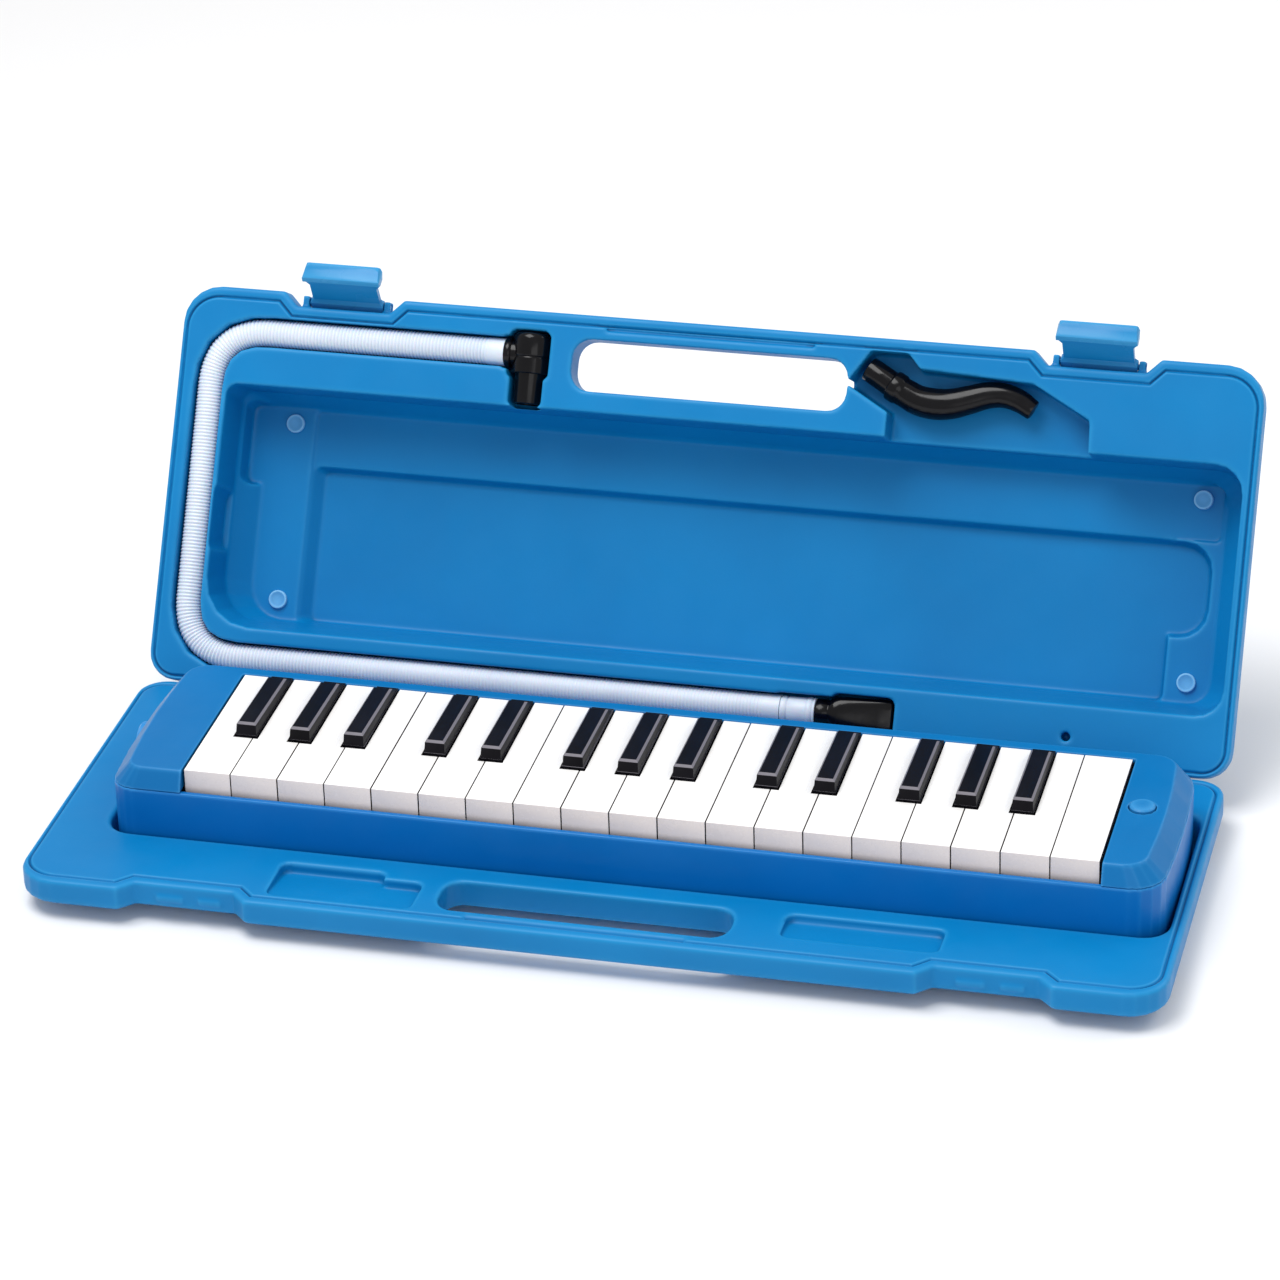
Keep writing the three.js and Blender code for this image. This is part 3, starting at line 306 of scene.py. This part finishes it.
def black_key_plastic():
    """Near black, with a pale painted highlight along the bevelled upper edges."""
    surface = Surface("black_key_plastic")
    body = surface.mix(surface.spread(surface.noise(40, 3), 0, 1), srgb(6, 5, 9), srgb(15, 14, 21))
    # Faces tilted like the bevels get a pale grey: a painted highlight along the upper edges.
    steep = surface.spread(surface.facing("Z"), 0, 1, 0.4, 0.55)
    shallow = surface.spread(surface.facing("Z"), 1, 0, 0.86, 0.95)
    color = surface.mix(surface.product(steep, shallow), body, srgb(122, 119, 127))
    gloss = surface.spread(surface.noise(300, 4, 0.6, stretch=(1, 0.1, 1)), 0.34, 0.5)
    normal = surface.bump(surface.noise(900, 3), 0.06, 0.0001)
    return surface.finish(color, gloss, normal, Specular_IOR_Level=0.12)


def metal(name, dark, light, roughness):
    surface = Surface(name)
    streaks = surface.noise(500, 3, 0.6, stretch=(0.05, 1, 1))
    color = surface.mix(streaks, dark, light)
    gloss = surface.spread(streaks, roughness - 0.08, roughness + 0.12)
    normal = surface.bump(streaks, 0.1, 0.0001)
    return surface.finish(color, gloss, normal, Metallic=1.0)


def felt(name, dark, light):
    surface = Surface(name)
    fibres = surface.noise(1800, 5, 0.7)
    color = surface.mix(fibres, dark, light)
    normal = surface.bump(fibres, 0.8, 0.0006)
    return surface.finish(color, 0.95, normal, Sheen_Weight=0.4)


def hose_plastic():
    """Milky white, with painted shade lying between the ribs."""
    surface = Surface("hose_plastic")
    milky = surface.mix(
        surface.spread(surface.noise(25, 3), 0, 1), srgb(204, 215, 230), srgb(220, 228, 239)
    )
    # Darker blue-grey where the surface curls inward: painted shade between the ribs.
    valley = surface.ramp(
        surface.pointiness(), [(0.42, (1, 1, 1, 1)), (0.5, (0, 0, 0, 1))]
    )
    color = surface.mix(valley, milky, srgb(132, 148, 174))
    normal = surface.bump(surface.noise(900, 2), 0.08, 0.0002)
    return surface.finish(color, 0.42, normal, Subsurface_Weight=0.15, Subsurface_Scale=0.002)


# The third colour of each moulded plastic is a painted highlight on its convex edges; all of them also get painted
# shade in their creases.
MATERIALS = {
    "case_plastic": moulded_plastic(
        "case_plastic", srgb(0, 116, 178), srgb(2, 125, 188), srgb(52, 156, 210), 0.42
    ),
    "latch_plastic": moulded_plastic(
        "latch_plastic", srgb(0, 114, 176), srgb(2, 124, 186), srgb(96, 184, 228), 0.24, 0.05
    ),
    "body_plastic": moulded_plastic(
        "body_plastic", srgb(0, 100, 174), srgb(0, 108, 184), srgb(60, 158, 222), 0.34, 0.06
    ),
    "cover_plastic": moulded_plastic(
        "cover_plastic", srgb(0, 102, 164), srgb(2, 110, 174), srgb(70, 158, 216), 0.4, 0.06
    ),
    "pad_plastic": moulded_plastic(
        "pad_plastic", srgb(84, 158, 212), srgb(104, 174, 222), srgb(150, 205, 238), 0.5, 0.2
    ),
    "inner_plastic": moulded_plastic(
        "inner_plastic", srgb(176, 178, 182), srgb(190, 192, 196), srgb(205, 207, 210), 0.5
    ),
    "gasket_rubber": polished_plastic("gasket_rubber", srgb(30, 30, 32), srgb(44, 44, 46), 0.8),
    "reed_brass": metal("reed_brass", srgb(186, 148, 70), srgb(214, 178, 96), 0.32),
    "steel": metal("steel", srgb(168, 170, 174), srgb(206, 208, 212), 0.3),
    "felt": felt("felt", srgb(104, 28, 26), srgb(150, 52, 44)),
    "fitting_plastic": polished_plastic(
        "fitting_plastic", srgb(4, 4, 7), srgb(9, 8, 12), 0.14, specular=0.26
    ),
    "hose_plastic": hose_plastic(),
    "white_key_plastic": white_key_plastic(),
    "black_key_plastic": black_key_plastic(),
}
SLOT_OF = {entry["node"]: entry["material_slot"] for entry in frame["record"]["subparts"]}


# ---- mesh helpers ---------------------------------------------------------------------------
def add_piece(name, mesh, body, slot_name, replaced):
    """Shows mesh, already in the row frame, as a piece that rides on a CAD body."""
    mesh.materials.clear()
    mesh.materials.append(MATERIALS[slot_name])
    piece = bpy.data.objects.new(name, mesh)
    bpy.context.scene.collection.objects.link(piece)
    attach(piece, body)
    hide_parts(*replaced)


def shade_smooth(mesh, sharp_above=None):
    mesh.polygons.foreach_set("use_smooth", [True] * len(mesh.polygons))
    if sharp_above is not None:
        mesh.set_sharp_from_angle(angle=math.radians(sharp_above))


def with_modifiers(mesh, *steps):
    """The mesh after modifiers, each given as (type, {property: value})."""
    carrier = bpy.data.objects.new("carrier", mesh)
    bpy.context.scene.collection.objects.link(carrier)
    for kind, values in steps:
        modifier = carrier.modifiers.new(kind, kind)
        for name, value in values.items():
            setattr(modifier, name, value)
    shape = carrier.evaluated_get(bpy.context.evaluated_depsgraph_get())
    result = bpy.data.meshes.new_from_object(shape)
    bpy.data.objects.remove(carrier)
    return result


def vertices_of(mesh):
    points = np.empty(len(mesh.vertices) * 3)
    mesh.vertices.foreach_get("co", points)
    return points.reshape(-1, 3)


def set_vertices(mesh, points):
    mesh.vertices.foreach_set("co", points.ravel())
    mesh.update()


def skin(rings):
    """Closed mesh over rings that have the same number of points."""
    rings = [list(ring) for ring in rings]
    count = len(rings[0])
    mesh = bpy.data.meshes.new("skin")
    faces = []
    for ring in range(len(rings) - 1):
        low = ring * count
        for i in range(count):
            j = (i + 1) % count
            faces.append((low + i, low + j, low + count + j, low + count + i))
    faces.append(tuple(reversed(range(count))))
    faces.append(tuple(range((len(rings) - 1) * count, len(rings) * count)))
    mesh.from_pydata([tuple(point) for ring in rings for point in ring], [], faces)
    build = bmesh.new()
    build.from_mesh(mesh)
    bmesh.ops.recalc_face_normals(build, faces=build.faces)
    build.to_mesh(mesh)
    build.free()
    return mesh


def joined(meshes):
    build = bmesh.new()
    for mesh in meshes:
        build.from_mesh(mesh)
    result = bpy.data.meshes.new("joined")
    build.to_mesh(result)
    build.free()
    return result


def turned(profile, place, sides=48):
    """Mesh of revolution about local Z; profile is a list of (radius, z), closed at its ends."""
    angles = [2 * math.pi * i / sides for i in range(sides)]
    rings = [
        [place @ Vector((r * math.cos(a), r * math.sin(a), z)) for a in angles] for r, z in profile
    ]
    return skin(rings)


def round_rect(left, right, front, rear, radii):
    steps = 10
    r0, r1, r2, r3 = radii
    corners = (
        (left + r0, front + r0, r0, 180),
        (right - r1, front + r1, r1, 270),
        (right - r2, rear - r2, r2, 0),
        (left + r3, rear - r3, r3, 90),
    )
    points = []
    for x, y, radius, start in corners:
        for i in range(steps + 1):
            angle = math.radians(start + 90 * i / steps)
            points.append((x + radius * math.cos(angle), y + radius * math.sin(angle)))
    return points


def rim_line(left, right, front, rear):
    """The groove round either half in plan, with y = -v, at its distances from the four sides."""
    low = -CASE_DEPTH + front
    points = round_rect(
        CASE_LEFT + left,
        CASE_RIGHT - right,
        low,
        -rear,
        (FRONT_RADIUS - left, FRONT_RADIUS - right, REAR_RADIUS - right, REAR_RADIUS - left),
    )
    inner = NOTCH_INNER + front * (math.sqrt(2) - 1)
    outer = inner + NOTCH_DEPTH
    notches = []
    for x in LATCH_X:
        notches += [
            (x - outer, low),
            (x - inner, low + NOTCH_DEPTH),
            (x + inner, low + NOTCH_DEPTH),
            (x + outer, low),
        ]
    quarter = len(points) // 4
    return points[:quarter] + notches + points[quarter:]


def distance_to_line(points, line):
    """Distance in plan from each point to a closed polyline."""
    line = np.array(line)
    best = np.full(len(points), 1e9)
    for start, end in zip(line, np.roll(line, -1, axis=0)):
        along = end - start
        t = np.clip(((points - start) @ along) / (along @ along), 0, 1)
        gap = np.hypot(*(points - start - t[:, None] * along).T)
        best = np.minimum(best, gap)
    return best


# ---- case -----------------------------------------------------------------------------------
def softened(node, place, voxel, rounds):
    """A CAD node laid flat in millimetres, its edges rounded as a blown moulding's are."""
    mesh = frame["nodes"][node].data.copy()
    mesh.transform(place.inverted())
    return with_modifiers(
        mesh,
        ("WELD", {"merge_threshold": 0.001}),
        ("REMESH", {"mode": "VOXEL", "voxel_size": voxel}),
        ("SMOOTH", {"factor": 0.5, "iterations": rounds}),
    )


def refine(mesh, near):
    """Splits the faces whose corners all lie where near(points) is true."""
    build = bmesh.new()
    build.from_mesh(mesh)
    chosen = near(vertices_of(mesh))
    edges = [edge for edge in build.edges if all(chosen[end.index] for end in edge.verts)]
    bmesh.ops.subdivide_edges(build, edges=edges, cuts=1, use_grid_fill=True)
    build.to_mesh(mesh)
    build.free()


def carve_line(mesh, line, inward):
    """Presses a soft groove into the meeting face; inward is the sign in z of its depth."""
    def near(points):
        flat = np.abs(points[:, 2] - 0.1) < 0.8
        close = np.zeros(len(points), bool)
        close[flat] = distance_to_line(points[flat, :2], line) < 2.2 * GROOVE_WIDTH
        return close

    refine(mesh, near)
    points = vertices_of(mesh)
    chosen = near(points)
    gap = distance_to_line(points[chosen, :2], line)
    points[chosen, 2] += inward * GROOVE_DEPTH * np.exp(-((gap / (0.55 * GROOVE_WIDTH)) ** 2))
    set_vertices(mesh, points)


def finish_shell(mesh, name, place, body, share):
    """Thins a remeshed CAD node out to a share of its faces and puts it in the node's place."""
    mesh = with_modifiers(mesh, ("DECIMATE", {"decimate_type": "COLLAPSE", "ratio": share}))
    mesh.transform(place)
    shade_smooth(mesh)
    add_piece(name + "_shell", mesh, body, SLOT_OF[name], [name])


def slope_floor(points, left, right, back, front, rise):
    """Raises the floor of a shallow recess in the base towards its front edge."""
    x, v, z = points[:, 0], -points[:, 1], points[:, 2]
    inside = (x > left) & (x < right) & (v > back) & (v < front) & (z < 0.2) & (z > -6)
    t = np.clip((v[inside] - back) / (front - back), 0, 1)
    points[inside, 2] = z[inside] * (1 - rise * t)


def make_case():
    base = softened("case_base", BASE, CASE_VOXEL, CASE_SMOOTHING)
    carve_line(base, rim_line(1.9, 3.2, 4.8, 4), -1)
    points = vertices_of(base)
    slope_floor(points, 44, 107, 140, 164, 0.75)
    slope_floor(points, 250, 317, 139, 156, 0.7)
    set_vertices(base, points)
    finish_shell(base, "case_base", BASE, "case_base", CASE_SHARE)
    lid = softened("case_lid", LID, CASE_VOXEL, CASE_SMOOTHING)
    carve_line(lid, rim_line(2.1, 2.4, 4.4, 2.1), 1)
    finish_shell(lid, "case_lid", LID, "case_lid", CASE_SHARE)


# ---- what the lid holds -----------------------------------------------------------------------
def soft_corner(start, knee, end, count=40):
    """Points of the quadratic curve from start to end that heads for the knee."""
    t = np.linspace(0, 1, count + 1)[:, None]
    start, knee, end = np.array(start), np.array(knee), np.array(end)
    return (1 - t) ** 2 * start + 2 * t * (1 - t) * knee + t * t * end


def hose_route(step):
    """Points along the hose in the lid, a given step apart, from the elbow to the cuff."""
    far, near, left, bend = -HOSE_FAR, -HOSE_NEAR, HOSE_LEFT, HOSE_BEND
    rough = np.vstack([
        [(HOSE_START, far)],
        soft_corner((left + bend, far), (left, far), (left, far + bend)),
        soft_corner((left, near - bend), (left, near), (left + bend, near)),
        [(HOSE_END, near)],
    ])
    length = np.concatenate([[0], np.cumsum(np.hypot(*np.diff(rough, axis=0).T))])
    count = int(length[-1] / step)
    at = np.linspace(0, length[-1], count + 1)
    flat = np.column_stack([np.interp(at, length, rough[:, i]) for i in (0, 1)])
    return np.column_stack([flat, np.full(len(flat), HOSE_H)]), at


def make_hose():
    """The hose, its ribs shallower towards the cuff and fading out at both ends."""
    sides = 24
    route, at = hose_route(RIB_PITCH / 5)
    way = np.gradient(route, axis=0)
    way /= np.linalg.norm(way, axis=1)[:, None]
    across = np.column_stack([-way[:, 1], way[:, 0], np.zeros(len(way))])
    from_end = np.minimum(at - at[0], at[-1] - at)
    ribbed = np.clip((from_end - 6) / 3, 0, 1)
    ribbed *= np.interp(at, [at[-1] * 0.55, at[-1] * 0.7], [0.42, 0.2])
    wave = 0.5 - 0.5 * np.cos(2 * math.pi * at / RIB_PITCH)
    radius = HOSE_RADIUS - ribbed * wave
    rings = []
    for centre, side, size in zip(route, across, radius):
        ring = []
        for k in range(sides):
            angle = 2 * math.pi * k / sides
            offset = side * math.cos(angle) + np.array([0, 0, 1]) * math.sin(angle)
            ring.append(Vector(centre + size * offset))
        rings.append(ring)
    mesh = skin(rings)
    mesh.transform(LID)
    shade_smooth(mesh, 60)
    add_piece("hose_ribbed", mesh, "hose_set", "hose_plastic", ["hose"])


ALONG_X = Matrix.Rotation(math.radians(90), 4, "Y")
ALONG_V = Matrix.Rotation(math.radians(90), 4, "X")


def make_cuff():
    place = LID @ Matrix.Translation((0, -HOSE_NEAR, HOSE_H)) @ ALONG_X
    start = HOSE_END + 0.2
    profile = [
        (4.8, start), (5.5, start), (5.75, start + 0.3), (5.8, start + 1), (5.8, start + 2.2),
        (5.55, start + 2.5), (5.55, start + 3), (5.8, start + 3.3), (5.85, CUFF_END - 5),
        (5.85, CUFF_END - 3.6), (6.05, CUFF_END - 3.3), (6.1, CUFF_END - 2.8),
        (6.1, CUFF_END - 1.6), (5.8, CUFF_END - 1.3), (5.8, CUFF_END - 1),
        (6.1, CUFF_END - 0.7), (6.1, CUFF_END - 0.2), (5.9, CUFF_END), (4.8, CUFF_END),
    ]
    mesh = turned(profile, place)
    shade_smooth(mesh, 50)
    add_piece("hose_cuff_ringed", mesh, "hose_set", "hose_plastic", ["hose_cuff"])


def make_elbow():
    upright = LID @ Matrix.Translation((ELBOW_X, 0, ELBOW_H)) @ ALONG_V
    profile = [
        (4.3, 134.5), (4.5, 130.6), (4.8, 130.3), (5.9, 130.3), (6.25, 130.6), (6.5, 142.4),
        (6.6, 143), (7.9, 143.1), (8.2, 143.4), (8.25, 149.4), (8.0, 149.7), (8.0, 150.3),
        (8.35, 150.6), (8.45, 151), (8.5, 157.6), (8.4, 158.4), (8.0, 159.4), (7.3, 160.2),
        (6.2, 160.5), (6.0, 160.2), (0.4, 160.2),
    ]
    body = turned(profile, upright)
    sideways = LID @ Matrix.Translation((0, -HOSE_FAR, HOSE_H)) @ ALONG_X
    neck = turned(
        [
            (5.0, HOSE_START + 0.3), (6.1, HOSE_START + 0.3), (6.35, HOSE_START + 0.6),
            (6.4, HOSE_START + 2.2), (6.2, HOSE_START + 2.7), (5.6, HOSE_START + 3.2),
            (5.6, 92), (0.4, 92),
        ],
        sideways,
    )
    mesh = joined([body, neck])
    shade_smooth(mesh, 40)
    add_piece("elbow_moulding", mesh, "hose_set", "fitting_plastic", ["elbow_connector"])


def smooth_stations(stations, count):
    """Catmull-Rom spline through rows of numbers."""
    rows = np.array(stations, float)
    rows = np.vstack([2 * rows[0] - rows[1], rows, 2 * rows[-1] - rows[-2]])
    result = []
    for s in np.linspace(0, len(stations) - 1 - 1e-9, count):
        i = int(s)
        t = s - i
        a, b, c, d = rows[i : i + 4]
        result.append(
            0.5 * (2 * b + (c - a) * t + (2 * a - 5 * b + 4 * c - d) * t**2
                   + (3 * b - a - 3 * c + d) * t**3)
        )
    return result


def make_short_mouthpiece():
    bend = [
        (255.4, 148.2, 6.1, 6.1), (261.4, 145.5, 6.4, 6.1), (268.4, 144.5, 6.6, 5.9),
        (275.4, 145.1, 6.4, 5.6), (283, 147.4, 6.0, 5.2), (290.4, 149.8, 5.6, 4.8),
        (297.4, 150.3, 5.2, 4.4), (304, 148.4, 4.8, 3.8), (309.4, 145.3, 4.3, 3.3),
    ]
    plug = [
        (239.4, 157.1, 4.4, 4.4), (239.4, 157.1, 5.0, 5.0), (239.8, 156.9, 5.3, 5.3),
        (246, 153.4, 5.4, 5.4), (249.4, 151.4, 5.5, 5.5), (249.8, 151.2, 6.3, 6.3),
        (250.4, 150.8, 6.6, 6.6), (252.6, 149.6, 6.6, 6.6), (253.4, 149.2, 6.55, 6.55),
        (254.0, 148.8, 6.1, 6.1),
    ]
    tip = [(309.9, 145.0, 4.1, 3.1), (310.1, 144.9, 3.2, 2.2)]
    stations = [np.array(row) for row in plug] + smooth_stations(bend, 60)
    stations += [np.array(row) for row in tip]
    centres = np.array([(row[0], -row[1]) for row in stations])
    way = np.gradient(centres, axis=0)
    way[:10] = centres[12] - centres[0]
    way /= np.linalg.norm(way, axis=1)[:, None]
    rings = []
    for row, centre, ahead in zip(stations, centres, way):
        side = np.array([-ahead[1], ahead[0]])
        ring = []
        for k in range(32):
            angle = 2 * math.pi * k / 32
            flat = centre + row[2] * math.cos(angle) * side
            height = SHORT_MOUTHPIECE_H + row[3] * math.sin(angle)
            ring.append(Vector((flat[0], flat[1], height)))
        rings.append(ring)
    mesh = skin(rings)
    mesh.transform(LID)
    shade_smooth(mesh, 50)
    name = "short_mouthpiece"
    add_piece(name + "_moulding", mesh, name, "fitting_plastic", [name])


def oval_ring(x, half_v, half_h, squareness, sides=40):
    ring = []
    for k in range(sides):
        angle = 2 * math.pi * k / sides
        c, s = math.cos(angle), math.sin(angle)
        ring.append(
            Vector((
                x,
                -HOSE_NEAR + half_v * math.copysign(abs(c) ** squareness, c),
                HOSE_H + half_h * math.copysign(abs(s) ** squareness, s),
            ))
        )
    return ring


def make_hose_mouthpiece():
    start = CUFF_END + 0.3
    stations = [
        (start, 5.0, 5.0, 1), (start, 5.4, 5.4, 1), (start + 0.4, 5.7, 5.6, 1),
        (start + 4.6, 5.8, 5.6, 1), (start + 5.0, 5.5, 5.3, 1), (start + 5.6, 5.6, 5.3, 1),
        (start + 6.2, 6.4, 5.7, 0.9), (start + 8, 7.1, 5.8, 0.78), (start + 10, 7.35, 5.6, 0.66),
        (start + 14, 7.5, 5.1, 0.56), (start + 20, 7.65, 4.3, 0.5), (start + 26, 7.8, 3.6, 0.46),
        (MOUTHPIECE_END - 0.8, 7.9, 3.1, 0.45), (MOUTHPIECE_END - 0.2, 7.75, 2.9, 0.45),
        (MOUTHPIECE_END, 7.4, 2.6, 0.45), (MOUTHPIECE_END, 5.8, 1.2, 0.5),
        (MOUTHPIECE_END - 6, 5.5, 1.1, 0.5),
    ]
    mesh = skin([oval_ring(*row) for row in stations])
    mesh.transform(LID)
    shade_smooth(mesh, 45)
    name = "hose_mouthpiece"
    add_piece(name + "_moulding", mesh, "hose_set", "fitting_plastic", [name])


def make_lid_pads():
    places = {
        "far_left": (-12.8, 115.7, 30.9), "near_left": (-12.8, 39.4, 30.9),
        "far_right": (381, 115.7, 32.0), "near_right": (381, 39.4, 30.9),
    }
    face = [
        (0.2, 29.35), (2.6, 29.3), (3.0, 29.1), (3.3, 28.95), (3.7, 28.95), (3.95, 29.2),
        (4.0, 29.6),
    ]
    for name, (x, v, top) in places.items():
        profile = face + [(4.0, top), (0.2, top)]
        mesh = turned(profile, LID @ Matrix.Translation((x, -v, 0)), 40)
        shade_smooth(mesh, 50)
        piece = "lid_pad_" + name
        add_piece(piece + "_disc", mesh, "case_lid", "pad_plastic", [piece])


# ---- melodica -----------------------------------------------------------------------------------
def make_covers():
    for name, voxel, share in (("upper_case", 0.5, 0.4), ("lower_case", 0.6, 0.3)):
        mesh = softened(name, KEYBOARD, voxel, 2)
        finish_shell(mesh, name, KEYBOARD, "instrument", share)


def round_edges(node, width):
    """Welds a CAD node, clears its flat faces of inner edges and bevels the sharp ones."""
    weld = node.modifiers.new("weld", "WELD")
    weld.merge_threshold = 1e-6
    flat = node.modifiers.new("flat", "DECIMATE")
    flat.decimate_type = "DISSOLVE"
    flat.angle_limit = math.radians(1)
    bevel = node.modifiers.new("bevel", "BEVEL")
    bevel.width = width * MM
    bevel.segments = 3
    bevel.limit_method = "ANGLE"
    bevel.angle_limit = math.radians(28)
    bevel.harden_normals = True


def finish_carried_nodes():
    """Gives every CAD node its material, and rounds the edges of those that stay in view."""
    bevels = {"latch_plastic": 0.35, "white_key_plastic": 0.4, "black_key_plastic": 0.28}
    for name, node in frame["nodes"].items():
        slot_name = SLOT_OF[name]
        node.data.materials.clear()
        node.data.materials.append(MATERIALS[slot_name])
        if slot_name in bevels:
            round_edges(node, bevels[slot_name])
        shade_smooth(node.data, 35)


make_camera()
make_studio()
make_case()
make_hose()
make_cuff()
make_elbow()
make_short_mouthpiece()
make_hose_mouthpiece()
make_lid_pads()
make_covers()
finish_carried_nodes()
